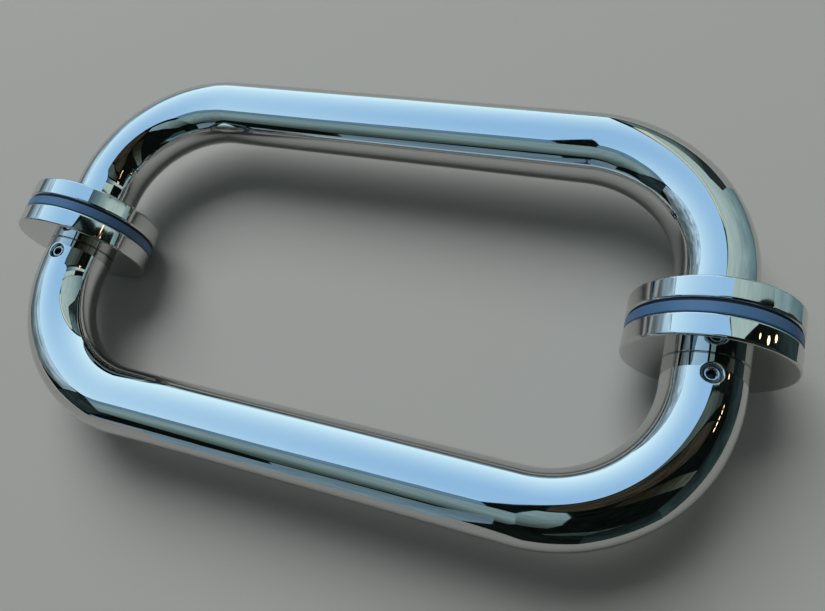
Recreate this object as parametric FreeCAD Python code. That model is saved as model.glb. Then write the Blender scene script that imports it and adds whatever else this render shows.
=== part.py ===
"""Back-to-back pull handle for a glass shower door, in polished stainless steel.

Two bent tubes face each other across the glass and are clamped to it at two points.
X runs along the grip bars, Y through the glass towards the rear grip, and Z stands square to both grips.
The origin lies in the glass plane, midway between the two fixing points. Lengths are in millimetres.
"""

import FreeCAD
import Part
import math
import os
from FreeCAD import Vector

# Grip tubes
TUBE_DIAMETER = 25.0
TUBE_WALL = 1.5
TUBE_END_CHAMFER = 0.4
FIXING_CENTRES = 240.0      # between the middle lines of a grip's two legs
LEG_STRAIGHT = 8.5          # straight run from the washer to the start of the bend
BEND_RADIUS = 47.0          # of the tube's middle line

# Washers, all four alike
WASHER_DIAMETER = 51.0
WASHER_THICKNESS = 7.2
WASHER_EDGE_RADIUS = 0.8        # as buffing leaves it
WASHER_RECESS_DIAMETER = 29.0
WASHER_RECESS_DEPTH = 4.0
WASHER_BORE_CLEARANCE = 1.0     # round the stud

# Gaskets on the two faces of the glass
FRONT_GASKET_THICKNESS = 3.7
FRONT_GASKET_INSET = 0.2        # below the washer's rim
FRONT_GASKET_EDGE_RADIUS = 0.5
REAR_GASKET_THICKNESS = 0.9
REAR_GASKET_INSET = 0.9
GASKET_BORE_CLEARANCE = 0.3     # round the sleeve

# Studs, and the sleeves that keep them off the glass
STUD_DIAMETER = 8.0
STUD_ENGAGEMENT = 10.0          # length of thread held at each end
STUD_CHAMFER = 0.8
SLEEVE_WALL = 1.8
SLEEVE_CLEARANCE = 0.2          # round the stud
SLEEVE_END_CLEARANCE = 0.5      # to the washers' recesses

# Inserts fixed in the tube ends
INSERT_LENGTH = 12.5
INSERT_CLEARANCE = 0.05         # the film of braze round the insert
THREAD_CLEARANCE = 0.05

# Posts that the front grip slides over
POST_DIAMETER = 14.0
POST_LENGTH = 12.0
POST_CLEARANCE = 0.1
POST_GROOVE_DEPTH = 1.0
POST_GROOVE_CLEARANCE = 0.3     # beside the set screw
POST_SLOT_WIDTH = 2.0
POST_SLOT_DEPTH = 1.2

# Set screws in the front grip
SCREW_DIAMETER = 5.0
SCREW_OFFSET = 6.0              # from the washer to the screw's middle
SCREW_SINK = 1.0                # below the tube's surface
SCREW_CHAMFER = 0.5
SCREW_HOLE_CLEARANCE = 0.3
SCREW_HOLE_RIM_RADIUS = 0.6     # rim of the hole in the tube, rounded by buffing
SOCKET_ACROSS_FLATS = 2.5
SOCKET_DEPTH = 2.5
SOCKET_LEAD_IN = 0.25
CUP_DIAMETER = 3.2
CUP_DEPTH = 0.9

# Places that follow from the sizes above
FRONT = -1
REAR = 1
ENDS = {"left": -1, "right": 1}
GASKET_THICKNESS = {FRONT: FRONT_GASKET_THICKNESS, REAR: REAR_GASKET_THICKNESS}
TUBE_RADIUS = TUBE_DIAMETER / 2
TUBE_BORE_RADIUS = TUBE_RADIUS - TUBE_WALL
POST_RADIUS = POST_DIAMETER / 2
SLEEVE_DIAMETER = STUD_DIAMETER + 2 * (SLEEVE_CLEARANCE + SLEEVE_WALL)
SCREW_HOLE_RADIUS = SCREW_DIAMETER / 2 + SCREW_HOLE_CLEARANCE
SCREW_TOP = TUBE_RADIUS - SCREW_SINK
SCREW_TIP = POST_RADIUS - POST_GROOVE_DEPTH
TOLERANCE = 1e-4


def fixing_x(end):
    """X of the fixing point at the left or right end."""
    return ENDS[end] * FIXING_CENTRES / 2


def inner_face(side):
    """Y of the face of a washer that looks at the glass."""
    return side * GASKET_THICKNESS[side]


def outer_face(side):
    """Y of the face of a washer that the tube stands on."""
    return inner_face(side) + side * WASHER_THICKNESS


def round_bar(radius, x, y_start, y_end):
    """A round bar parallel to Y."""
    low, high = sorted((y_start, y_end))
    return Part.makeCylinder(radius, high - low, Vector(x, low, 0), Vector(0, 1, 0))


def circles_at(shape, radius, y=None):
    """The round edges of a shape with a given radius, all of them or those at one Y."""
    found = []
    for edge in shape.Edges:
        if not isinstance(edge.Curve, Part.Circle) or abs(edge.Curve.Radius - radius) > TOLERANCE:
            continue
        if y is None or abs(edge.Curve.Center.y - y) < TOLERANCE:
            found.append(edge)
    return found


def grip_path(side):
    """The middle line of a grip: leg, bend, bar, bend and leg."""
    half = FIXING_CENTRES / 2
    start = outer_face(side)
    bend = start + side * LEG_STRAIGHT
    bar = bend + side * BEND_RADIUS
    on_bend = BEND_RADIUS * math.sqrt(0.5)

    def leg(x):
        return Vector(x, start, 0), Vector(x, bend, 0)

    def bend_middle(sign):
        return Vector(sign * (half - BEND_RADIUS + on_bend), bend + side * on_bend, 0)

    left_end, left_bend = leg(-half)
    right_end, right_bend = leg(half)
    bar_left = Vector(-half + BEND_RADIUS, bar, 0)
    bar_right = Vector(half - BEND_RADIUS, bar, 0)
    return Part.Wire([
        Part.makeLine(left_end, left_bend),
        Part.Arc(left_bend, bend_middle(-1), bar_left).toShape(),
        Part.makeLine(bar_left, bar_right),
        Part.Arc(bar_right, bend_middle(1), right_bend).toShape(),
        Part.makeLine(right_bend, right_end),
    ])


def bent_bar(side, radius):
    """A round bar along a grip's middle line."""
    start = Vector(-FIXING_CENTRES / 2, outer_face(side), 0)
    section = Part.Wire(Part.makeCircle(radius, start, Vector(0, 1, 0)))
    return grip_path(side).makePipeShell([section], True, True)


def screw_y():
    """Y of the set screws."""
    return outer_face(FRONT) + FRONT * SCREW_OFFSET


def screw_hole(end, radius):
    """The drill that comes down through the top of the front grip's leg."""
    return Part.makeCylinder(radius, TUBE_DIAMETER, Vector(fixing_x(end), screw_y(), 0))


def hole_rim(tube, end):
    """The edges round a set screw hole, where it breaks the outside of the tube."""
    path = grip_path(FRONT)
    rim = []
    for edge in tube.Edges:
        points = edge.discretize(5)
        in_hole = all(
            abs(math.hypot(point.x - fixing_x(end), point.y - screw_y()) - SCREW_HOLE_RADIUS) < TOLERANCE
            for point in points
        )
        if in_hole and all(
            abs(path.distToShape(Part.Vertex(point))[0] - TUBE_RADIUS) < TOLERANCE for point in points
        ):
            rim.append(edge)
    return rim


def grip_tube(side):
    """A bent tube with chamfered ends, which stands on two washers."""
    tube = bent_bar(side, TUBE_RADIUS).cut(bent_bar(side, TUBE_BORE_RADIUS))
    return tube.makeChamfer(TUBE_END_CHAMFER, circles_at(tube, TUBE_RADIUS, outer_face(side)))


def front_grip_tube():
    """The front tube, drilled for the set screws, with the holes' rims rounded."""
    tube = grip_tube(FRONT)
    for end in ENDS:
        tube = tube.cut(screw_hole(end, SCREW_HOLE_RADIUS))
        tube = tube.makeFillet(SCREW_HOLE_RIM_RADIUS, hole_rim(tube, end))
    return tube


def insert_blank(side, end):
    """A turned slug in the tube's end, slim enough to reach past the start of the bend."""
    past_start = max(INSERT_LENGTH - LEG_STRAIGHT, 0)
    drift = BEND_RADIUS - math.sqrt(BEND_RADIUS ** 2 - past_start ** 2)
    radius = TUBE_BORE_RADIUS - drift - INSERT_CLEARANCE
    start = outer_face(side)
    return round_bar(radius, fixing_x(end), start, start + side * INSERT_LENGTH)


def front_insert(end):
    """A bush with a plain bore for the post and a tapped hole for the set screw."""
    start = outer_face(FRONT)
    bore = round_bar(POST_RADIUS + POST_CLEARANCE, fixing_x(end), start, start + FRONT * INSERT_LENGTH)
    tapped = screw_hole(end, SCREW_DIAMETER / 2 + THREAD_CLEARANCE)
    return insert_blank(FRONT, end).cut(bore).cut(tapped)


def rear_insert(end):
    """A plug tapped for the stud."""
    start = outer_face(REAR)
    tapped_radius = STUD_DIAMETER / 2 + THREAD_CLEARANCE
    tapped = round_bar(tapped_radius, fixing_x(end), start, start + REAR * INSERT_LENGTH)
    return insert_blank(REAR, end).cut(tapped)


def washer(side, end):
    """A thick disc with rounded edges, a bore for the stud and a recess on the glass side."""
    inner, outer = inner_face(side), outer_face(side)
    disc = round_bar(WASHER_DIAMETER / 2, fixing_x(end), inner, outer)
    disc = disc.makeFillet(WASHER_EDGE_RADIUS, circles_at(disc, WASHER_DIAMETER / 2))
    bore = round_bar(STUD_DIAMETER / 2 + WASHER_BORE_CLEARANCE, fixing_x(end), inner, outer)
    recess_floor = inner + side * WASHER_RECESS_DEPTH
    recess = round_bar(WASHER_RECESS_DIAMETER / 2, fixing_x(end), inner, recess_floor)
    return disc.cut(bore).cut(recess)


def gasket_ring(side, end, inset):
    """A flat ring between the glass and a washer, bored for the sleeve."""
    bore_radius = SLEEVE_DIAMETER / 2 + GASKET_BORE_CLEARANCE
    ring = round_bar(WASHER_DIAMETER / 2 - inset, fixing_x(end), 0, inner_face(side))
    return ring.cut(round_bar(bore_radius, fixing_x(end), 0, inner_face(side)))


def front_gasket(end):
    """The thick gasket, with rounded rims."""
    ring = gasket_ring(FRONT, end, FRONT_GASKET_INSET)
    rims = circles_at(ring, WASHER_DIAMETER / 2 - FRONT_GASKET_INSET)
    return ring.makeFillet(FRONT_GASKET_EDGE_RADIUS, rims)


def rear_gasket(end):
    """The thin gasket, set back from the washer's rim."""
    return gasket_ring(REAR, end, REAR_GASKET_INSET)


def through_stud(end):
    """The rod that runs from the rear insert through the stack into the post."""
    front_end = outer_face(FRONT) + FRONT * STUD_ENGAGEMENT
    rear_end = outer_face(REAR) + REAR * STUD_ENGAGEMENT
    rod = round_bar(STUD_DIAMETER / 2, fixing_x(end), front_end, rear_end)
    return rod.makeChamfer(STUD_CHAMFER, circles_at(rod, STUD_DIAMETER / 2))


def glass_sleeve(end):
    """The plastic bush round the stud, which lies between the floors of the two recesses."""
    front_end = inner_face(FRONT) + FRONT * (WASHER_RECESS_DEPTH - SLEEVE_END_CLEARANCE)
    rear_end = inner_face(REAR) + REAR * (WASHER_RECESS_DEPTH - SLEEVE_END_CLEARANCE)
    sleeve = round_bar(SLEEVE_DIAMETER / 2, fixing_x(end), front_end, rear_end)
    return sleeve.cut(round_bar(STUD_DIAMETER / 2 + SLEEVE_CLEARANCE, fixing_x(end), front_end, rear_end))


def mounting_post(end):
    """The round nut on the stud, with a groove for the set screw and a slot to turn it by."""
    x = fixing_x(end)
    start = outer_face(FRONT)
    tip = start + FRONT * POST_LENGTH
    post = round_bar(POST_RADIUS, x, start, tip)
    post = post.cut(round_bar(STUD_DIAMETER / 2 + THREAD_CLEARANCE, x, start, tip))
    half_groove = SCREW_DIAMETER / 2 + POST_GROOVE_CLEARANCE
    groove = round_bar(POST_DIAMETER, x, screw_y() - half_groove, screw_y() + half_groove)
    core = round_bar(SCREW_TIP, x, screw_y() - half_groove, screw_y() + half_groove)
    slot = Part.makeBox(POST_SLOT_WIDTH, POST_SLOT_DEPTH, POST_DIAMETER,
                        Vector(x - POST_SLOT_WIDTH / 2, tip, -POST_RADIUS))
    return post.cut(groove.cut(core)).cut(slot)


def hexagon_prism(across_flats, height, base):
    """An upright six-sided prism."""
    first_corner = Vector(across_flats / math.sqrt(3), 0, 0)
    turns = [FreeCAD.Rotation(Vector(0, 0, 1), angle) for angle in range(0, 361, 60)]
    corners = [base + turn.multVec(first_corner) for turn in turns]
    return Part.Face(Part.makePolygon(corners)).extrude(Vector(0, 0, height))


def set_screw(end):
    """A grub screw with a hexagon socket and a cup point that bears in the post's groove."""
    foot = Vector(fixing_x(end), screw_y(), SCREW_TIP)
    height = SCREW_TOP - SCREW_TIP
    body = Part.makeCylinder(SCREW_DIAMETER / 2, height, foot)
    body = body.makeChamfer(SCREW_CHAMFER, circles_at(body, SCREW_DIAMETER / 2))
    socket_foot = foot + Vector(0, 0, height - SOCKET_DEPTH)
    lead_radius = SOCKET_ACROSS_FLATS / math.sqrt(3) + SOCKET_LEAD_IN
    lead_in = Part.makeCone(0, lead_radius, lead_radius, foot + Vector(0, 0, height - lead_radius))
    cup = Part.makeCone(CUP_DIAMETER / 2, 0, CUP_DEPTH, foot)
    return body.cut(hexagon_prism(SOCKET_ACROSS_FLATS, SOCKET_DEPTH, socket_foot)).cut(lead_in).cut(cup)


def all_pieces():
    """Every piece of the handle by its node name."""
    pieces = {"front_grip_tube": front_grip_tube(), "rear_grip_tube": grip_tube(REAR)}
    for end in ENDS:
        pieces["front_insert_" + end] = front_insert(end)
        pieces["rear_insert_" + end] = rear_insert(end)
        pieces["front_washer_" + end] = washer(FRONT, end)
        pieces["rear_washer_" + end] = washer(REAR, end)
        pieces["front_gasket_" + end] = front_gasket(end)
        pieces["rear_gasket_" + end] = rear_gasket(end)
        pieces["through_stud_" + end] = through_stud(end)
        pieces["glass_sleeve_" + end] = glass_sleeve(end)
        pieces["mounting_post_" + end] = mounting_post(end)
        pieces["set_screw_" + end] = set_screw(end)
    return pieces


os.makedirs("parts", exist_ok=True)
for name, shape in all_pieces().items():
    shape.exportStep("parts/" + name + ".step")
    print(name, "solids", len(shape.Solids), "valid", shape.isValid(), "volume", round(shape.Volume, 1))
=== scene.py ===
"""Finishes, light and camera for a back-to-back pull handle of a glass shower door.

The file is laid out as an add-on and is run as a script. Lengths are in metres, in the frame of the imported
part: X runs along the grip bars, Y through the glass towards the rear grip, and Z stands square to both.
"""

import math

import bmesh
import bpy
from bpy.props import FloatProperty, FloatVectorProperty, PointerProperty
from mathutils import Matrix, Vector


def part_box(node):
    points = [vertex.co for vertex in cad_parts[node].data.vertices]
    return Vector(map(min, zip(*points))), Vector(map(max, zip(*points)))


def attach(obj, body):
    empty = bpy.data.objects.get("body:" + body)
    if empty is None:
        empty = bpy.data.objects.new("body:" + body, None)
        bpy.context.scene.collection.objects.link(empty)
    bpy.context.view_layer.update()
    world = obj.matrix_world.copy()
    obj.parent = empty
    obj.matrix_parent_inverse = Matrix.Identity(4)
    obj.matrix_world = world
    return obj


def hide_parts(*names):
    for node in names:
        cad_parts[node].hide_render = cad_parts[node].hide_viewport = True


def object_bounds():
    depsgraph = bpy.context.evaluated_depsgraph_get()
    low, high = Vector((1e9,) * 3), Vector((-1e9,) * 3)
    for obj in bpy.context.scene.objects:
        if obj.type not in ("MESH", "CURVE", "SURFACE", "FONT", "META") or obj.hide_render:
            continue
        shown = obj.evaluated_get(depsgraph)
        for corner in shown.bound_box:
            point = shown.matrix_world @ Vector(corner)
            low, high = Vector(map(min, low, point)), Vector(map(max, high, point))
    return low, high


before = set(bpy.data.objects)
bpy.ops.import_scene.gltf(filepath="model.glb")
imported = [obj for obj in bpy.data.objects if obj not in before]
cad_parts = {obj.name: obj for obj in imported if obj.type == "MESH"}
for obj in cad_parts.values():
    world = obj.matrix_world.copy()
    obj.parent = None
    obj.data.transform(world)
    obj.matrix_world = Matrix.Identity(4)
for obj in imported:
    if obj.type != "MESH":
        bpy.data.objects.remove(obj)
CAD_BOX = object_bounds()

bl_info = {
    "name": "Shower door handle",
    "version": (1, 0, 0),
    "blender": (4, 5, 0),
    "location": "3D View > Sidebar > Handle",
    "description": "Finishes a polished shower door handle and sets its studio",
    "category": "Object",
}

MM = 0.001
ENDS = ("left", "right")
FRONT = -1
REAR = 1
UP = Vector((0, 0, 1))

# How finely the grip tubes are meshed
COLUMNS = 96            # round the tube
BEND_ROWS = 56
BAR_ROWS = 12           # to the middle of the bar
WINDOW_ROWS = 10        # along the window round a set screw hole
WINDOW_COLUMNS = 7      # each side of the window's middle
WINDOW_RINGS = 6        # from the window's edge to the rim
RIM_RINGS = 6           # over the rounded rim
WELD_DISTANCE = 0.001 * MM
SHARP_ANGLE = math.radians(30)

# Patterns of the materials, in metres
HAZE_SIZE = 12 * MM
STAIN_SIZE = 3 * MM
SCUFF_SIZE = 0.8 * MM
CLOUD_SIZE = 9 * MM
CLOTH_PRINT = 0.5 * MM
MILK_SIZE = 4 * MM
FLOOR_GRAIN = 2 * MM
RELIEF = 0.03 * MM      # height of the lines and grain
PAINTED_SHADE_LEVELS = (1.2 * MM, 0.3 * MM)    # below a screw's top, where the painted shade in its socket is full and where it ends
WAVE_PERIOD = 0.31      # of Blender's wave texture at a scale of 1

# Sockets of the Mix node's colours, which share their names with its other sockets
MIX_FIRST = 6
MIX_SECOND = 7
MIX_RESULT = 2

# The stage, in metres and degrees
FLOOR_HALF = 3.0
FILL_STRENGTH = 0.35
KEY_LEAN = (-20, 35)    # from the zenith to the right and to the rear
KEY_DISTANCE = 4.0
KEY_SIZE = 2.8
KEY_WATTS = 153

# The dome of cards that the steel mirrors
NEAR_LAMP_RADIUS = 0.195
NEAR_RADIUS = 0.2       # of the cards close to the handle, just out of the picture
LAMP_RADIUS = 4.8
DOME_RADIUS = 5.0
ROOM_RADIUS = 5.5
HORIZON_LEAN = 91
LAMP_STRENGTH = 3
LAMP_CORNERS = 6
ROOM_CORNERS = 8
PATCHES = 12            # of an uneven card, across the dome's radius
EDGE_STEPS = 8          # between two corners of a card
DOME_RINGS = 8          # from a card's middle to its edge

# The camera
SENSOR_WIDTH = 36       # in millimetres
CLIP_START = 10 * MM


def linear(hex_colour):
    """An sRGB hex colour as linear red, green and blue."""
    channels = [int(hex_colour[i:i + 2], 16) / 255 for i in (1, 3, 5)]
    return tuple(c / 12.92 if c <= 0.04045 else ((c + 0.055) / 1.055) ** 2.4 for c in channels)


def colour(name, description, hex_colour):
    """A colour that a user may change."""
    return FloatVectorProperty(
        name=name, description=description, subtype="COLOR", size=3, min=0, max=1,
        default=linear(hex_colour))


def length(name, description, millimetres):
    """A length that a user may change."""
    return FloatProperty(name=name, description=description, unit="LENGTH", default=millimetres * MM)


def angle(name, description, degrees):
    """An angle that a user may change."""
    return FloatProperty(name=name, description=description, subtype="ANGLE", default=math.radians(degrees))


class HandleSizes(bpy.types.PropertyGroup):
    """Sizes of the grip tubes that their box in the frame doesn't give."""

    bend_radius: length("Bend radius", "Of the tube's middle line", 47.0)
    tube_wall: length("Tube wall", "Thickness of the tube's wall", 1.5)
    end_chamfer: length("End chamfer", "At the tube's ends on the washers", 0.4)
    hole_clearance: length("Hole clearance", "Round a set screw", 0.3)
    hole_rim: length("Hole rim", "Radius of the rim of a set screw hole, rounded by buffing", 0.6)
    window_half: length("Window half", "From a hole's middle to the end of the finer mesh round it", 5.0)


class HandleFinishes(bpy.types.PropertyGroup):
    """Colours of the handle's materials and the grain of their surfaces."""

    polished_steel: colour("Polished steel", "Reflection of the polished tubes and washers", "#cfcfcd")
    turned_steel: colour("Turned steel", "Reflection of the pieces left as turned", "#bcbbb8")
    screw_steel: colour("Screw steel", "Reflection of the set screws", "#c2c4c4")
    # Painted shade: this dark colour fills a screw's socket and stands in for the shade in the recess.
    socket_painted_shade: colour("Grease", "Steel under the dark grease in a screw's socket", "#2c2e2c")
    gasket: colour("Gasket", "Moulded plastic of the thick gaskets", "#3b6188")
    # Painted shade: the thin gaskets are coloured nearly black for the dark line between the rear washer and
    # the thick gasket.
    thin_gasket_shade: colour("Seal", "Rubber of the thin gaskets", "#17181a")
    sleeve: colour("Sleeve", "Natural nylon of the bushes", "#e3e0d6")
    polishing_line: length("Polishing line", "Spacing of the finest lines left by the polishing wheel", 0.6)
    tube_ripple: length("Tube ripple", "Length of the faint ripples that drawing leaves in the tube", 22.0)
    turning_feed: length("Turning feed", "Spacing of the lathe's lines", 0.4)
    mould_grain: length("Mould grain", "Spacing of the spark-eroded grain of the gasket's mould", 0.5)


class HandleStudio(bpy.types.PropertyGroup):
    """The floor, the cards that the steel mirrors, and the camera."""

    floor: colour("Floor", "Plain pale floor", "#a9aba8")
    sky: colour("Sky card", "Upper part of the large card", "#8db8df")
    sky_low: colour("Sky card, low", "Lower part of the large card", "#caecfa")
    reveal: colour("Reveal", "Narrow card beside the sky card", "#b4bfae")
    rear_wall: colour("Rear wall", "Rear wall next to the sky card", "#9ab0af")
    rear_wall_end: colour("Rear wall end", "Rear wall at its right end", "#405d68")
    rear_shade: colour("Rear shade", "Dark card above the rear wall, next to the sky card", "#56696c")
    rear_shade_end: colour("Rear shade end", "The same card at its right end", "#20292b")
    ceiling: colour("Ceiling", "Narrow card between the sky card and the front wall", "#557891")
    front_wall: colour("Front wall", "Upper part of the cards at the front", "#6e868b")
    front_wall_low: colour("Front wall, low", "Lower part of the cards at the front", "#36443f")
    low_strip: colour("Low strip", "Upper edge of the cards near the floor", "#536a77")
    low_strip_end: colour("Low strip end", "Lower edge of the cards near the floor", "#647d8b")
    curtain: colour("Curtain", "Pale card at the left, next to the sky card", "#a2c1d6")
    curtain_end: colour("Curtain end", "The same card at its left end", "#525f62")
    left_shade: colour("Left shade", "Dark card at the front left", "#1e2a2b")
    shelf: colour("Shelf", "Grey card at the right, next to the sky card", "#43504e")
    shelf_end: colour("Shelf end", "The same card at its right end", "#2a2d2b")
    lintel: colour("Lintel", "Dark brown card in front of the shelf", "#2b2921")
    door: colour("Door", "Dark brown card at the right", "#1c1b13")
    door_end: colour("Door end", "The same card at its right end", "#525a53")
    right_shade: colour("Right shade", "Dark grey-green cards at the right", "#2d3937")
    near_shade: colour("Near shade", "Upper part of the dark cards close to the right end", "#0c1210")
    near_shade_low: colour("Near shade, low", "Lower part of the same cards", "#253334")
    near_wall: colour("Near wall", "Upper part of the card close to the rear washer", "#7f989c")
    near_wall_low: colour("Near wall, low", "Lower part of the card close to the rear washer", "#48646b")
    dark: colour("Dark room", "What shows between the cards", "#070c0b")
    lamp: colour("Lamp", "Small warm lamps", "#ffd2a0")
    target: FloatVectorProperty(
        name="Target", description="Point that the camera looks at", unit="LENGTH", size=3,
        default=(15.3 * MM, -20.0 * MM, 0))
    distance: length("Distance", "From the target to the camera", 230.1)
    azimuth: angle("Azimuth", "Turn of the camera from the front towards the right end", 45.9)
    elevation: angle("Elevation", "Height of the camera above the horizon", 65.7)
    roll: angle("Roll", "Turn of the camera about its own axis", 32.1)
    lens: FloatProperty(
        name="Lens", description="Focal length in millimetres on a 36 mm sensor", default=28.47)
    shift: FloatVectorProperty(
        name="Shift", description="Shift of the lens as a share of the picture's width", size=2,
        default=(0.0396, 0.0304))


# Each card has a name, two colours, the direction from which the first fades into the second, the angles
# from there where the first ends and the second starts, how uneven it is, and its corners. Directions and
# corners are how far they lean from the zenith, to the right and to the rear, in degrees.
CARDS = (
    ("sky_card", "sky", "sky_low", (10, 5), (20, 80), 0,
     ((2, 88), (7, 60), (8, 31), (12, 27), (12.6, 24), (17, 22), (17, 18), (11, 16), (4, 15), (0.5, 6),
      (-3, -12), (-5, -21.5), (-26, -25.5), (-46, -21.5), (-50, -16), (-52, 10), (-57, 36), (-52, 70),
      (-27, 84))),
    ("reveal_card", "reveal", "reveal", (0, 0), (0, 90), 0.05, ((7.8, 68), (12, 67), (12, 31), (8.5, 31))),
    ("rear_wall_card", "rear_wall", "rear_wall_end", (8, 35), (8, 66), 0.1,
     ((12.5, 24.4), (12.3, 67), (17, 64), (22, 59), (27, 53), (27, 25))),
    ("rear_wall_end_card", "rear_wall", "rear_wall_end", (8, 35), (8, 66), 0.1,
     ((27, 25), (27, 53), (36, 56), (48, 60), (60, 57), (72, 50), (84, 40), (78, 35), (63, 30.5),
      (42, 26.8))),
    ("rear_wall_foot_card", "rear_wall", "rear_wall", (0, 0), (0, 90), 0.1,
     ((17.4, 20.2), (17.3, 22), (14, 23.9), (27, 24.8), (42, 26.5), (46, 27), (46, 21.9), (24, 20.5))),
    ("rail_card", "rear_wall_end", "rear_wall", (8, 18), (12, 40), 0.1,
     ((18, 17.3), (18, 19.8), (45, 21.5), (65, 24.5), (80, 28), (81, 24.7), (66.6, 21.6), (46.3, 18.9))),
    ("rear_shade_card", "rear_shade", "rear_shade_end", (0, 70), (8, 25), 0.5,
     ((4, 87), (9, 69), (12, 68.5), (17, 65.5), (22, 60.5), (27, 54.5), (36, 57.5), (48, 61.5), (62, 60),
      (56, 68), (40, 79))),
    ("ceiling_card", "ceiling", "ceiling", (0, 0), (0, 90), 0.15,
     ((-46, -22), (-26, -26), (-5, -22), (-4.5, -29.5), (-26, -33), (-46, -26.5))),
    ("front_wall_card", "front_wall", "front_wall_low", (0, 45), (91, 108), 0.15,
     ((-46, -27), (-26, -33.5), (-4.5, -30), (-1, -29), (0, -58), (-2.5, -64), (-30, -66), (-46, -50))),
    ("side_wall_card", "front_wall", "front_wall_low", (0, 45), (72, 98), 0.15,
     ((2, -11), (8, -13), (13, -25), (16, -44), (13, -55), (0, -58), (-1, -29))),
    ("low_front_card", "low_strip", "low_strip_end", (0, 45), (115, 128), 0.15,
     ((-31, -68), (-5, -69), (-5, -87), (-34, -81))),
    ("low_left_card", "low_strip_end", "low_strip_end", (0, 0), (0, 90), 0.15,
     ((-60, -62), (-42, -72), (-40, -79), (-60, -67))),
    ("curtain_card", "curtain", "curtain_end", (0, 15), (55, 78), 0.5,
     ((-52.5, 70), (-57.5, 36), (-52.5, 10), (-50.5, -15), (-49, -22), (-62, -32), (-84, -22), (-89, 8),
      (-84, 30), (-66, 61))),
    ("left_shade_card", "left_shade", "left_shade", (0, 0), (0, 90), 0.5,
     ((-49.8, -23), (-46.5, -27), (-46.5, -50), (-46, -56), (-60, -60), (-76, -40), (-62, -33))),
    ("shelf_card", "shelf", "shelf_end", (14, 14), (10, 24), 0.3,
     ((4.5, 14.5), (11, 15.6), (18, 16.8), (30, 16.6), (46, 17.5), (46, 13.5), (28, 11.5), (14, 10.5),
      (4, 12.5))),
    ("lintel_card", "lintel", "lintel", (0, 0), (0, 90), 0.6,
     ((1.5, 3), (4, 11.5), (14, 9.5), (28, 10.5), (45, 9), (40, 0), (20, -5), (9, -11), (3.5, -9.5))),
    ("right_shade_card", "right_shade", "right_shade", (0, 0), (0, 90), 0.3,
     ((74, 16), (88, 5), (86, -12), (74, -8))),
    ("low_right_card", "right_shade", "right_shade", (0, 0), (0, 90), 0.5,
     ((14, -72), (25, -64), (40, -62), (52, -56), (48, -68), (34, -80), (16, -84))),
    ("door_card", "door", "door_end", (20, -10), (10, 58), 0.4,
     ((18, -6), (60, -15), (84, -18), (80, -27), (55, -24), (20, -16))),
)
# Cards in the same form, close to the handle: low in front of it and at its right end
NEAR_CARDS = (
    ("near_shade_card", "near_shade", "near_shade_low", (0, 0), (76, 90), 0.4,
     ((72, -42), (84, -48.5), (95.9, 14.3), (75.2, 11.2), (76, 5.5), (78.5, -6))),
    ("near_front_card", "near_shade", "near_shade_low", (0, 0), (82, 102), 0.4,
     ((72, -42), (55, -62), (62, -74), (84, -48.5))),
    ("near_corner_card", "near_shade", "near_shade", (0, 0), (0, 90), 0.4,
     ((55, -62), (24, -76), (20, -88), (40, -88), (62, -74))),
    ("near_top_card", "near_shade", "near_shade", (0, 0), (0, 90), 0.4,
     ((75.2, 11.2), (59.3, 8.9), (60.5, 2.5), (68, 0.8), (78, -1), (76, 5.5))),
    ("low_strip_right_card", "low_strip", "low_strip_end", (0, 0), (76, 94), 0.15,
     ((21.5, -62), (11, -74.5), (14, -96), (20, -88), (24, -76))),
    ("low_strip_middle_card", "low_strip", "low_strip_end", (0, 0), (76, 94), 0.15,
     ((11, -74.5), (-10, -80), (-25, -78.5), (-31, -92), (-12, -96.4), (14, -96))),
    ("low_strip_left_card", "low_strip", "low_strip_end", (0, 0), (76, 94), 0.15,
     ((-25, -78.5), (-38, -74.8), (-49, -68), (-53, -81.3), (-44, -86.5), (-31, -92))),
    ("near_wall_card", "near_wall", "near_wall_low", (0, 0), (76, 94), 0.2,
     ((75.2, 11.4), (95.9, 14.5), (79.5, 55.6), (62.3, 43.6))),
)
# Each lamp's direction, and the angle that it takes up there
LAMPS = (((55, 18.2), 0.8), ((59, 19), 0.8), ((56, 20.2), 0.7), ((54.3, 13.2), 0.6), ((53.6, 11.3), 0.8),
         ((52.2, 9.4), 0.8), ((51.5, 7.4), 0.9), ((51, 5.4), 0.9))
NEAR_LAMPS = (((73.2, 3.6), 0.5), ((69.5, 7.6), 0.5), ((74.5, 6.7), 0.8), ((78.5, 7), 0.7))


def sizes():
    """The user's sizes."""
    return bpy.context.scene.handle_sizes


def finishes():
    """The user's finishes."""
    return bpy.context.scene.handle_finishes


def studio():
    """The user's studio settings."""
    return bpy.context.scene.handle_studio


def add_node(tree, kind, settings=None, links=None):
    """Adds a node. Settings go to its inputs or, where it has no such input, to the node itself."""
    node = tree.nodes.new(kind)
    for name, value in (settings or {}).items():
        if isinstance(name, int) or name in node.inputs:
            node.inputs[name].default_value = value
        else:
            setattr(node, name, value)
    for name, socket in (links or {}).items():
        tree.links.new(socket, node.inputs[name])
    return node


def start_material(name):
    """An empty material with its tree, its output and the object's own coordinates."""
    material = bpy.data.materials.new(name)
    material.use_nodes = True
    tree = material.node_tree
    tree.nodes.clear()
    output = add_node(tree, "ShaderNodeOutputMaterial")
    place = add_node(tree, "ShaderNodeTexCoord").outputs["Object"]
    return material, tree, output, place


def finish_material(tree, output, settings, links):
    """Adds the surface shader and connects it to the output."""
    shader = add_node(tree, "ShaderNodeBsdfPrincipled", settings, links)
    tree.links.new(shader.outputs["BSDF"], output.inputs["Surface"])


def opaque(rgb):
    """A colour with full alpha."""
    return (*rgb, 1)


def dress(nodes, material):
    """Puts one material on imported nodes."""
    for name in nodes:
        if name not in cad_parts:
            raise RuntimeError("The packed part has no node " + name)
        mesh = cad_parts[name].data
        mesh.materials.clear()
        mesh.materials.append(material)


def both_ends(*names):
    """The left and right nodes of each named piece."""
    return [name + "_" + end for name in names for end in ENDS]


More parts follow.
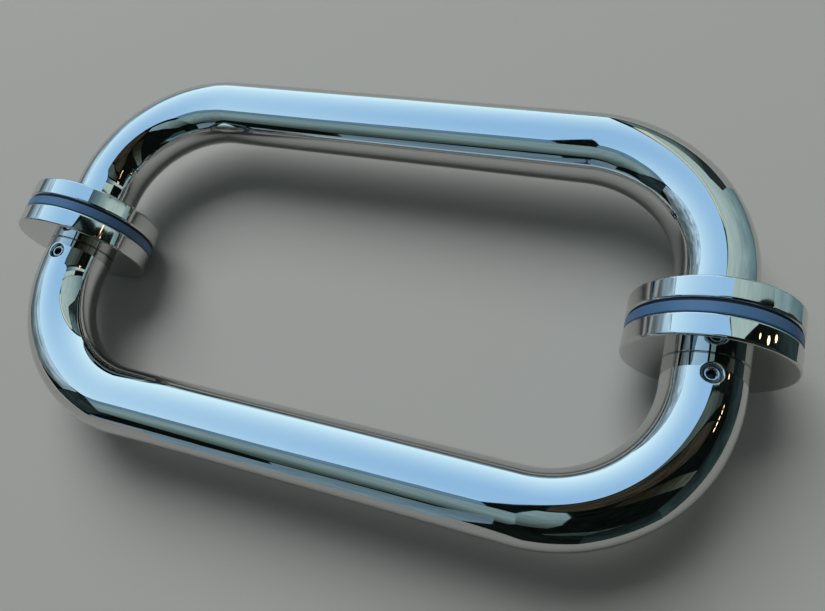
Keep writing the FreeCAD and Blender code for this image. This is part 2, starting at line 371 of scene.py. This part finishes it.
def mirror_polished_stainless():
    """Stainless steel buffed to a mirror.

    The eye sees the room in it. Faint lines of the polishing wheel and a breath of haze soften the
    reflections a little, and the drawn tube's slight ripple bends their edges.
    """
    material, tree, output, place = start_material("mirror_polished_stainless_steel")
    # The wheel's lines are finer than a pixel, so they are drawn coarser than they are.
    lines = add_node(tree, "ShaderNodeTexNoise", {"Scale": 1 / finishes().polishing_line, "Detail": 3},
                     {"Vector": place})
    haze = add_node(tree, "ShaderNodeTexNoise", {"Scale": 1 / HAZE_SIZE, "Detail": 4}, {"Vector": place})
    both = add_node(tree, "ShaderNodeMath", {"operation": "MULTIPLY"},
                    {0: lines.outputs["Fac"], 1: haze.outputs["Fac"]})
    roughness = add_node(tree, "ShaderNodeMapRange",
                         {"From Min": 0.1, "From Max": 0.5, "To Min": 0.015, "To Max": 0.055},
                         {"Value": both.outputs["Value"]})
    ripple = add_node(tree, "ShaderNodeTexNoise", {"Scale": 1 / finishes().tube_ripple, "Detail": 1},
                      {"Vector": place})
    bump = add_node(tree, "ShaderNodeBump", {"Strength": 1, "Distance": RELIEF},
                    {"Height": ripple.outputs["Fac"]})
    finish_material(
        tree, output, {"Base Color": opaque(finishes().polished_steel), "Metallic": 1},
        {"Roughness": roughness.outputs["Result"], "Normal": bump.outputs["Normal"]})
    return material


def turned_stainless():
    """Stainless steel as it leaves the lathe.

    Fine lines round the piece spread the light across them and leave it a satin grey.
    """
    material, tree, output, place = start_material("turned_stainless_steel")
    lines = add_node(tree, "ShaderNodeTexWave",
                     {"wave_type": "BANDS", "bands_direction": "Y",
                      "Scale": WAVE_PERIOD / finishes().turning_feed, "Distortion": 0.4}, {"Vector": place})
    stain = add_node(tree, "ShaderNodeTexNoise", {"Scale": 1 / STAIN_SIZE, "Detail": 4}, {"Vector": place})
    roughness = add_node(tree, "ShaderNodeMapRange", {"To Min": 0.22, "To Max": 0.4},
                         {"Value": stain.outputs["Fac"]})
    bump = add_node(tree, "ShaderNodeBump", {"Strength": 0.6, "Distance": RELIEF},
                    {"Height": lines.outputs["Fac"]})
    finish_material(
        tree, output, {"Base Color": opaque(finishes().turned_steel), "Metallic": 1},
        {"Roughness": roughness.outputs["Result"], "Normal": bump.outputs["Normal"]})
    return material


def plain_screw_steel():
    """Stainless steel of a cold-formed grub screw, unpolished.

    It is duller than the tube round it, with small scuffs from the key, and its socket is painted dark as
    shade below the screw's top.
    """
    material, tree, output, place = start_material("cold_formed_screw_steel")
    # Painted shade: below the screw's top the steel turns to a dark colour that stands in for the shade in
    # the socket.
    height = add_node(tree, "ShaderNodeSeparateXYZ", None, {"Vector": place})
    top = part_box("set_screw_left")[1].z
    thick, thin = PAINTED_SHADE_LEVELS
    out_of_painted_shade = add_node(tree, "ShaderNodeMapRange", {"From Min": top - thick, "From Max": top - thin},
                     {"Value": height.outputs["Z"]})
    tint = add_node(tree, "ShaderNodeMix",
                    {"data_type": "RGBA", MIX_FIRST: opaque(finishes().socket_painted_shade),
                     MIX_SECOND: opaque(finishes().screw_steel)}, {0: out_of_painted_shade.outputs["Result"]})
    scuffs = add_node(tree, "ShaderNodeTexNoise", {"Scale": 1 / SCUFF_SIZE, "Detail": 5}, {"Vector": place})
    roughness = add_node(tree, "ShaderNodeMapRange", {"To Min": 0.06, "To Max": 0.2},
                         {"Value": scuffs.outputs["Fac"]})
    bump = add_node(tree, "ShaderNodeBump", {"Strength": 0.5, "Distance": RELIEF},
                    {"Height": scuffs.outputs["Fac"]})
    finish_material(
        tree, output, {"Metallic": 1},
        {"Base Color": tint.outputs[MIX_RESULT], "Roughness": roughness.outputs["Result"],
         "Normal": bump.outputs["Normal"]})
    return material


def moulded_gasket_plastic():
    """Soft PVC moulded in a grained tool.

    A slate-blue satin surface, with a fine grain and slight clouds in its colour.
    """
    material, tree, output, place = start_material("moulded_soft_pvc")
    clouds = add_node(tree, "ShaderNodeTexNoise", {"Scale": 1 / CLOUD_SIZE, "Detail": 3}, {"Vector": place})
    shade = add_node(tree, "ShaderNodeMapRange", {"To Min": 0.92, "To Max": 1.08},
                     {"Value": clouds.outputs["Fac"]})
    tint = add_node(tree, "ShaderNodeMix",
                    {"data_type": "RGBA", "blend_type": "MULTIPLY", "Factor": 1,
                     MIX_FIRST: opaque(finishes().gasket)}, {MIX_SECOND: shade.outputs["Result"]})
    grain = add_node(tree, "ShaderNodeTexNoise", {"Scale": 1 / finishes().mould_grain, "Detail": 2},
                     {"Vector": place})
    roughness = add_node(tree, "ShaderNodeMapRange", {"To Min": 0.3, "To Max": 0.45},
                         {"Value": grain.outputs["Fac"]})
    bump = add_node(tree, "ShaderNodeBump", {"Strength": 0.3, "Distance": RELIEF},
                    {"Height": grain.outputs["Fac"]})
    finish_material(
        tree, output, {"IOR": 1.53},
        {"Base Color": tint.outputs[MIX_RESULT], "Roughness": roughness.outputs["Result"],
         "Normal": bump.outputs["Normal"]})
    return material


def shade_dark_sheet():
    """Thin rubber gasket punched from sheet, coloured nearly black as painted shade.

    Its near-black colour is painted shade for the dark line between the rear washer and the thick gasket,
    and its recess adds some real shade. It is dull, with the faint print of the fabric that the sheet was
    cured on.
    """
    material, tree, output, place = start_material("punched_sheet_painted_shade")
    print_of_cloth = add_node(tree, "ShaderNodeTexNoise", {"Scale": 1 / CLOTH_PRINT, "Detail": 2},
                              {"Vector": place})
    roughness = add_node(tree, "ShaderNodeMapRange", {"To Min": 0.6, "To Max": 0.85},
                         {"Value": print_of_cloth.outputs["Fac"]})
    bump = add_node(tree, "ShaderNodeBump", {"Strength": 0.5, "Distance": RELIEF},
                    {"Height": print_of_cloth.outputs["Fac"]})
    finish_material(
        tree, output, {"Base Color": opaque(finishes().thin_gasket_shade), "IOR": 1.52},
        {"Roughness": roughness.outputs["Result"], "Normal": bump.outputs["Normal"]})
    return material


def natural_nylon():
    """Natural nylon, cut from extruded tube.

    Milky off-white and a little shiny.
    """
    material, tree, output, place = start_material("extruded_natural_nylon")
    milk = add_node(tree, "ShaderNodeTexNoise", {"Scale": 1 / MILK_SIZE, "Detail": 3}, {"Vector": place})
    shade = add_node(tree, "ShaderNodeMapRange", {"To Min": 0.94, "To Max": 1.02},
                     {"Value": milk.outputs["Fac"]})
    tint = add_node(tree, "ShaderNodeMix",
                    {"data_type": "RGBA", "blend_type": "MULTIPLY", "Factor": 1,
                     MIX_FIRST: opaque(finishes().sleeve)}, {MIX_SECOND: shade.outputs["Result"]})
    roughness = add_node(tree, "ShaderNodeMapRange", {"To Min": 0.3, "To Max": 0.45},
                         {"Value": milk.outputs["Fac"]})
    finish_material(
        tree, output, {"IOR": 1.53},
        {"Base Color": tint.outputs[MIX_RESULT], "Roughness": roughness.outputs["Result"]})
    return material


class GripLine:
    """The middle line of a grip tube, from its left end on the washer to its right end."""

    def __init__(self, node, side):
        low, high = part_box(node)
        self.side = side
        self.radius = high.z
        self.half = high.x - self.radius
        self.foot = high.y if side == FRONT else low.y
        self.bar = low.y + self.radius if side == FRONT else high.y - self.radius
        self.bend = sizes().bend_radius
        self.leg = abs(self.bar - self.foot) - self.bend
        self.bend_end = self.leg + self.bend * math.pi / 2
        self.middle = self.bend_end + self.half - self.bend
        self.length = 2 * self.middle

    def at(self, distance):
        """The point at a distance from the left end, and the direction there that points out of the bend."""
        along = min(distance, self.length - distance)
        if along <= self.leg:
            x, y = -self.half, self.foot + self.side * along
            out_x, out_y = -1, 0
        elif along <= self.bend_end:
            turn = (along - self.leg) / self.bend
            out_x, out_y = -math.cos(turn), self.side * math.sin(turn)
            x = -self.half + self.bend * (1 + out_x)
            y = self.bar + self.bend * (out_y - self.side)
        else:
            x, y = along - self.middle, self.bar
            out_x, out_y = 0, self.side
        mirror = 1 if distance <= self.middle else -1
        return Vector((mirror * x, y, 0)), Vector((mirror * out_x, out_y, 0))

    def place(self, distance, across, height):
        """A point beside the middle line."""
        middle, out = self.at(distance)
        return middle + out * across + UP * height

    def surface(self, distance, turn, radius):
        """A point on a round surface about the middle line, turned from the top towards the outside."""
        return self.place(distance, radius * math.sin(turn), radius * math.cos(turn))

    def ring(self, distance, radius):
        """The points of one ring round the middle line."""
        return [self.surface(distance, math.tau * i / COLUMNS, radius) for i in range(COLUMNS)]


def evenly(start, end, steps):
    """Values from start to end, both included."""
    return [start + (end - start) * i / steps for i in range(steps + 1)]


def skin(mesh, rings, open_cells=()):
    """Closes the strips between closed rings of points, apart from the cells that stay open."""
    rows = [[mesh.verts.new(point) for point in ring] for ring in rings]
    for i in range(len(rows) - 1):
        for j in range(len(rows[i])):
            if (i, j) not in open_cells:
                k = (j + 1) % len(rows[i])
                mesh.faces.new((rows[i][j], rows[i][k], rows[i + 1][k], rows[i + 1][j]))


def window_edge(hole):
    """Distances and turns round the window in the mesh about a set screw hole."""
    half = sizes().window_half
    step = math.tau / COLUMNS
    turns = [step * i for i in range(-WINDOW_COLUMNS, WINDOW_COLUMNS + 1)]
    distances = evenly(hole - half, hole + half, WINDOW_ROWS)
    edge = [(distances[0], turn) for turn in turns[:-1]]
    edge += [(distance, turns[-1]) for distance in distances[:-1]]
    edge += [(distances[-1], turn) for turn in reversed(turns[1:])]
    edge += [(distance, turns[0]) for distance in reversed(distances[1:])]
    return edge


def drilled_window(line, hole, hole_radius, bore_radius):
    """Rings from the window's edge over the rounded rim, down the hole and out to the bore's window."""
    rim = sizes().hole_rim
    core = line.radius - rim
    columns = []
    for distance, turn in window_edge(hole):
        heading = math.atan2(line.radius * turn, distance - hole)
        along, across = math.cos(heading), math.sin(heading)
        # A ball of the rim's radius that touches both the hole and the outside of the tube
        ball = Vector((along * (hole_radius + rim), across * (hole_radius + rim), 0))
        ball.z = math.sqrt(core ** 2 - ball.y ** 2)
        outwards = Vector((0, ball.y, ball.z)) / core
        rim_turn = math.asin(ball.y / core)
        column = []
        for share in evenly(0, 1, WINDOW_RINGS)[:-1]:
            column.append(line.surface(
                distance + (hole + ball.x - distance) * share,
                turn + (rim_turn - turn) * share, line.radius))
        for share in evenly(0, 1, RIM_RINGS):
            point = ball + rim * outwards.slerp(Vector((-along, -across, 0)), share)
            column.append(line.place(hole + point.x, point.y, point.z))
        bore_turn = math.asin(across * hole_radius / bore_radius)
        for share in evenly(0, 1, WINDOW_RINGS):
            column.append(line.surface(
                hole + along * hole_radius + (distance - hole - along * hole_radius) * share,
                bore_turn + (turn - bore_turn) * share, bore_radius))
        columns.append(column)
    return [list(ring) for ring in zip(*columns)]


def screw_hole():
    """Distance of a set screw from the grip's end, and the radius of its hole."""
    low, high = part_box("set_screw_left")
    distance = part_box("front_grip_tube")[1].y - (low.y + high.y) / 2
    return distance, (high.x - low.x) / 2 + sizes().hole_clearance


def grip_tube(node, side, drilled):
    """A bent tube with chamfered ends, meshed finely enough for a clean mirror, and drilled or not."""
    line = GripLine(node, side)
    chamfer = sizes().end_chamfer
    bore_radius = line.radius - sizes().tube_wall
    hole, hole_radius = screw_hole()
    window = evenly(hole - sizes().window_half, hole + sizes().window_half, WINDOW_ROWS)
    bend = evenly(window[-1], line.bend_end, BEND_ROWS)
    bar = evenly(line.bend_end, line.middle, BAR_ROWS)
    half = window + bend[1:] + bar[1:]
    rows = half + [line.length - distance for distance in reversed(half[:-1])]

    outside = [line.ring(0, line.radius - chamfer), line.ring(chamfer, line.radius)]
    outside += [line.ring(distance, line.radius) for distance in rows]
    outside += [line.ring(line.length - chamfer, line.radius), line.ring(line.length, line.radius - chamfer)]
    inside = [line.ring(distance, bore_radius) for distance in (0, *rows, line.length)]
    windows = set()
    if drilled:
        window_starts = (0, len(rows) - 1 - WINDOW_ROWS)
        windows = {(start + i, j % COLUMNS) for start in window_starts for i in range(WINDOW_ROWS)
                   for j in range(-WINDOW_COLUMNS, WINDOW_COLUMNS)}

    mesh = bmesh.new()
    skin(mesh, outside, {(i + 2, j) for i, j in windows})
    skin(mesh, inside, {(i + 1, j) for i, j in windows})
    skin(mesh, [outside[0], inside[0]])
    skin(mesh, [outside[-1], inside[-1]])
    if drilled:
        for distance in (hole, line.length - hole):
            skin(mesh, drilled_window(line, distance, hole_radius, bore_radius))
    bmesh.ops.remove_doubles(mesh, verts=mesh.verts, dist=WELD_DISTANCE)
    bmesh.ops.delete(mesh, geom=[vertex for vertex in mesh.verts if not vertex.link_faces], context="VERTS")
    bmesh.ops.recalc_face_normals(mesh, faces=mesh.faces)
    return mesh


def replace_node(name, node, mesh, material):
    """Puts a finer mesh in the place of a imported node."""
    data = bpy.data.meshes.new(name)
    mesh.to_mesh(data)
    mesh.free()
    data.shade_smooth()
    data.set_sharp_from_angle(angle=SHARP_ANGLE)
    data.materials.append(material)
    piece = bpy.data.objects.new(name, data)
    bpy.context.scene.collection.objects.link(piece)
    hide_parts(node)
    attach(piece, "root")


def new_stage_mesh(name, vertices, faces, material):
    """A stage object from vertices and faces."""
    mesh = bpy.data.meshes.new(name)
    mesh.from_pydata(vertices, [], faces)
    mesh.materials.append(material)
    made = bpy.data.objects.new(name, mesh)
    bpy.context.scene.collection.objects.link(made)
    return made


def leaning(right, rear):
    """The direction that leans from the zenith by so many degrees to the right and to the rear."""
    lean = math.radians(math.hypot(right, rear))
    heading = math.atan2(rear, right)
    return Vector((math.cos(heading) * math.sin(lean), math.sin(heading) * math.sin(lean), math.cos(lean)))


def glow(name, colours, axis, fade, uneven, strength):
    """The glow of a card, which fades from one colour to another and is as uneven as a real wall."""
    material, tree, output, place = start_material(name)
    outwards = add_node(tree, "ShaderNodeVectorMath", {"operation": "NORMALIZE"}, {0: place})
    along = add_node(tree, "ShaderNodeVectorMath", {"operation": "DOT_PRODUCT", 1: leaning(*axis)},
                     {0: outwards.outputs["Vector"]})
    first_ends, second_starts = (math.cos(math.radians(lean)) for lean in fade)
    share = add_node(tree, "ShaderNodeMapRange", {"From Min": first_ends, "From Max": second_starts},
                     {"Value": along.outputs["Value"]})
    mix = add_node(tree, "ShaderNodeMix",
                   {"data_type": "RGBA", MIX_FIRST: opaque(colours[0]), MIX_SECOND: opaque(colours[1])},
                   {0: share.outputs["Result"]})
    patches = add_node(tree, "ShaderNodeTexNoise", {"Scale": PATCHES, "Detail": 4},
                       {"Vector": outwards.outputs["Vector"]})
    level = add_node(tree, "ShaderNodeMapRange",
                     {"From Min": 0.3, "From Max": 0.7, "To Min": (1 - uneven) * strength,
                      "To Max": (1 + uneven) * strength}, {"Value": patches.outputs["Fac"]})
    emission = add_node(tree, "ShaderNodeEmission", None,
                        {"Color": mix.outputs[MIX_RESULT], "Strength": level.outputs["Result"]})
    tree.links.new(emission.outputs["Emission"], output.inputs["Surface"])
    return material


def dome_card(name, corners, radius, material):
    """A curved card on a dome round the handle, seen in reflections alone."""
    corners = [Vector(corner) for corner in corners]
    outline = []
    for corner, following in zip(corners, corners[1:] + corners[:1]):
        outline += [corner.lerp(following, i / EDGE_STEPS) for i in range(EDGE_STEPS)]
    middle = sum(corners, Vector((0, 0))) / len(corners)
    rings = [[middle.lerp(point, k / DOME_RINGS) for point in outline] for k in range(1, DOME_RINGS + 1)]
    vertices = [leaning(*middle) * radius]
    vertices += [leaning(*point) * radius for ring in rings for point in ring]
    count = len(outline)
    faces = [(0, 1 + i, 1 + (i + 1) % count) for i in range(count)]
    for k in range(DOME_RINGS - 1):
        for i in range(count):
            first, second = 1 + k * count + i, 1 + k * count + (i + 1) % count
            faces.append((first, first + count, second + count, second))
    card = new_stage_mesh(name, vertices, faces, material)
    card.visible_camera = False
    card.visible_diffuse = False
    card.visible_shadow = False
    card.visible_transmission = False


def circle(middle, radius, steps):
    """Points round a middle point."""
    turns = [math.tau * i / steps for i in range(steps)]
    return [(middle[0] + radius * math.cos(turn), middle[1] + radius * math.sin(turn)) for turn in turns]


def add_cards():
    """The cards that the polished steel mirrors, in a dark room."""
    # The steel takes its share of the light, so the cards shine that much more and come out as written.
    steel = finishes().polished_steel
    strength = len(steel) / sum(steel)
    for cards, radius in ((CARDS, DOME_RADIUS), (NEAR_CARDS, NEAR_RADIUS)):
        for name, first, second, axis, fade, uneven, corners in cards:
            colours = getattr(studio(), first), getattr(studio(), second)
            dome_card(name, corners, radius, glow(name + "_glow", colours, axis, fade, uneven, strength))
    warm = glow("warm_lamp_glow", (studio().lamp, studio().lamp), (0, 0), (0, 90), 0,
                LAMP_STRENGTH * strength)
    for lamps, radius in ((LAMPS, LAMP_RADIUS), (NEAR_LAMPS, NEAR_LAMP_RADIUS)):
        for middle, lean in lamps:
            dome_card("warm_lamp", circle(middle, lean, LAMP_CORNERS), radius, warm)
    dark = glow("dark_room_glow", (studio().dark, studio().dark), (0, 0), (0, 90), 0.5, strength)
    dome_card("dark_room", circle((0, 0), HORIZON_LEAN, ROOM_CORNERS), ROOM_RADIUS, dark)


def add_floor():
    """A plain pale floor just under the washers' rims."""
    material, tree, output, place = start_material("matt_pale_floor")
    grain = add_node(tree, "ShaderNodeTexNoise", {"Scale": 1 / FLOOR_GRAIN, "Detail": 3}, {"Vector": place})
    roughness = add_node(tree, "ShaderNodeMapRange", {"To Min": 0.75, "To Max": 0.95},
                         {"Value": grain.outputs["Fac"]})
    finish_material(tree, output, {"Base Color": opaque(studio().floor), "Specular IOR Level": 0.2},
                    {"Roughness": roughness.outputs["Result"]})
    level = CAD_BOX[0].z
    corners = [(-FLOOR_HALF, -FLOOR_HALF, level), (FLOOR_HALF, -FLOOR_HALF, level),
               (FLOOR_HALF, FLOOR_HALF, level), (-FLOOR_HALF, FLOOR_HALF, level)]
    new_stage_mesh("floor", corners, [(0, 1, 2, 3)], material)


def add_world():
    """Even fill light all round, and a pale background where it is seen."""
    world = bpy.data.worlds.new("pale_room")
    world.use_nodes = True
    tree = world.node_tree
    path = add_node(tree, "ShaderNodeLightPath")
    seen = add_node(tree, "ShaderNodeMath", {"operation": "MAXIMUM"},
                    {0: path.outputs["Is Camera Ray"], 1: path.outputs["Is Glossy Ray"]})
    seen = add_node(tree, "ShaderNodeMath", {"operation": "MAXIMUM"},
                    {0: seen.outputs["Value"], 1: path.outputs["Is Transmission Ray"]})
    strength = add_node(tree, "ShaderNodeMapRange", {"To Min": FILL_STRENGTH, "To Max": 1},
                        {"Value": seen.outputs["Value"]})
    background = tree.nodes["Background"]
    background.inputs["Color"].default_value = opaque(studio().floor)
    tree.links.new(strength.outputs["Result"], background.inputs["Strength"])
    bpy.context.scene.world = world


def add_key_light():
    """A soft lamp behind and to the left, whose shadows fall to the front and right."""
    lamp = bpy.data.lights.new("window_softbox", "AREA")
    lamp.shape = "SQUARE"
    lamp.size = KEY_SIZE
    lamp.energy = KEY_WATTS
    towards = leaning(*KEY_LEAN)
    made = bpy.data.objects.new("window_softbox", lamp)
    made.location = towards * KEY_DISTANCE
    made.rotation_euler = towards.to_track_quat("Z", "Y").to_euler()
    made.visible_glossy = False
    bpy.context.scene.collection.objects.link(made)


def add_camera():
    """The camera at the photograph's viewing angle."""
    settings = studio()
    level = math.cos(settings.elevation)
    back = Vector((math.sin(settings.azimuth) * level, -math.cos(settings.azimuth) * level,
                   math.sin(settings.elevation)))
    lens = bpy.data.cameras.new("camera")
    lens.sensor_width = SENSOR_WIDTH
    lens.lens = settings.lens
    lens.shift_x, lens.shift_y = settings.shift
    lens.clip_start = CLIP_START
    camera = bpy.data.objects.new("camera", lens)
    upright = (-back).to_track_quat("-Z", "Y").to_matrix().to_4x4()
    rolled = upright @ Matrix.Rotation(-settings.roll, 4, "Z")
    camera.matrix_world = Matrix.Translation(Vector(settings.target) + back * settings.distance) @ rolled
    bpy.context.scene.collection.objects.link(camera)
    bpy.context.scene.camera = camera


class HANDLE_OT_polished_pieces(bpy.types.Operator):
    """Mesh and polish the grip tubes, and polish the washers"""

    bl_idname = "handle.polished_pieces"
    bl_label = "Polish tubes and washers"

    def execute(self, context):
        steel = mirror_polished_stainless()
        for name, side in (("front", FRONT), ("rear", REAR)):
            node = name + "_grip_tube"
            tube = grip_tube(node, side, drilled=side == FRONT)
            replace_node("polished_" + node, node, tube, steel)
        dress(both_ends("front_washer", "rear_washer"), steel)
        return {"FINISHED"}


class HANDLE_OT_turned_pieces(bpy.types.Operator):
    """Finish the inserts, studs and posts"""

    bl_idname = "handle.turned_pieces"
    bl_label = "Turn inserts, studs and posts"

    def execute(self, context):
        dress(both_ends("front_insert", "rear_insert", "through_stud", "mounting_post"), turned_stainless())
        return {"FINISHED"}


class HANDLE_OT_set_screws(bpy.types.Operator):
    """Finish the set screws"""

    bl_idname = "handle.set_screws"
    bl_label = "Form set screws"

    def execute(self, context):
        dress(both_ends("set_screw"), plain_screw_steel())
        return {"FINISHED"}


class HANDLE_OT_gaskets(bpy.types.Operator):
    """Finish the thick and thin gaskets and the sleeves"""

    bl_idname = "handle.gaskets"
    bl_label = "Mould gaskets and sleeves"

    def execute(self, context):
        dress(both_ends("front_gasket"), moulded_gasket_plastic())
        # The thin gaskets' near-black colour is painted shade for the dark line by the rear washer.
        dress(both_ends("rear_gasket"), shade_dark_sheet())
        dress(both_ends("glass_sleeve"), natural_nylon())
        return {"FINISHED"}


class HANDLE_OT_stage(bpy.types.Operator):
    """Set up the floor, light, cards and camera"""

    bl_idname = "handle.stage"
    bl_label = "Set the studio"

    def execute(self, context):
        context.scene.view_settings.view_transform = "Standard"
        add_world()
        add_floor()
        add_key_light()
        add_cards()
        add_camera()
        return {"FINISHED"}


OPERATORS = (
    HANDLE_OT_polished_pieces, HANDLE_OT_turned_pieces, HANDLE_OT_set_screws, HANDLE_OT_gaskets,
    HANDLE_OT_stage)


class HANDLE_PT_sidebar(bpy.types.Panel):
    """The handle's operators and settings"""

    bl_idname = "HANDLE_PT_sidebar"
    bl_label = "Shower door handle"
    bl_space_type = "VIEW_3D"
    bl_region_type = "UI"
    bl_category = "Handle"

    def draw(self, context):
        for operator in OPERATORS:
            self.layout.operator(operator.bl_idname)
        scene = context.scene
        for settings in (scene.handle_sizes, scene.handle_finishes, scene.handle_studio):
            for name in settings.__annotations__:
                self.layout.prop(settings, name)


CLASSES = (HandleSizes, HandleFinishes, HandleStudio, *OPERATORS, HANDLE_PT_sidebar)


def register():
    """Registers the classes and hangs the settings on the scene."""
    for cls in CLASSES:
        bpy.utils.register_class(cls)
    bpy.types.Scene.handle_sizes = PointerProperty(type=HandleSizes)
    bpy.types.Scene.handle_finishes = PointerProperty(type=HandleFinishes)
    bpy.types.Scene.handle_studio = PointerProperty(type=HandleStudio)


def unregister():
    """Takes the settings and classes away again."""
    del bpy.types.Scene.handle_studio
    del bpy.types.Scene.handle_finishes
    del bpy.types.Scene.handle_sizes
    for cls in reversed(CLASSES):
        bpy.utils.unregister_class(cls)


def main():
    register()
    bpy.ops.handle.polished_pieces()
    bpy.ops.handle.turned_pieces()
    bpy.ops.handle.set_screws()
    bpy.ops.handle.gaskets()
    bpy.ops.handle.stage()


if __name__ == "__main__":
    main()
